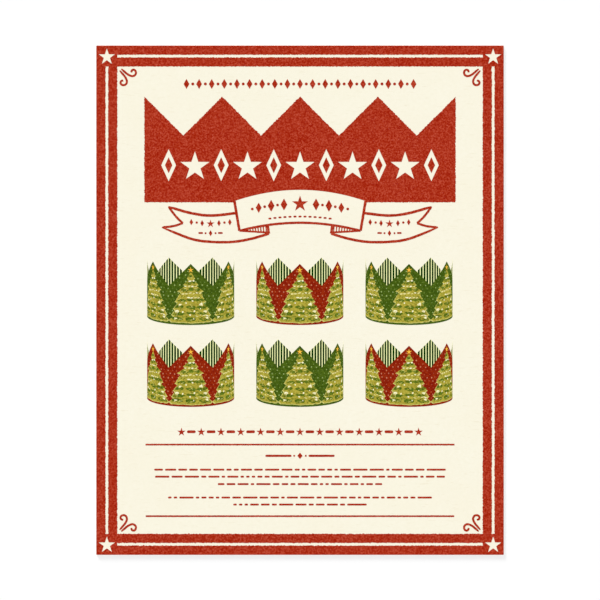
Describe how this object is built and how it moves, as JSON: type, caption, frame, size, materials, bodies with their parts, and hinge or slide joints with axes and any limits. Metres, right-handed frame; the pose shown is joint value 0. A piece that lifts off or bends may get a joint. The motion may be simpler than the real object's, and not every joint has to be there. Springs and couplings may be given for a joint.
{
  "type": "printed card",
  "caption": "Flat upright-format printed card with a double border, a zigzag crown banner, a ribbon and pictures of paper crowns on cream board.",
  "frame": {"origin": "middle of the back face, which is the face that the card rests on", "axes": "+Z out of the printed face, +Y to the head of the print, +X to the right of someone reading it"},
  "size_m": [0.2032, 0.254, 0.0005],
  "materials": {
    "cream_board": "uncoated matte board, printed on one face",
    "red_ink": "matte printed ink with a fine mottle",
    "picture_ink": "matte printed inks of the crown pictures, greens, red, cream and gold"
  },
  "bodies": {
    "root": {"card": "cream_board"}
  },
  "joints": []
}
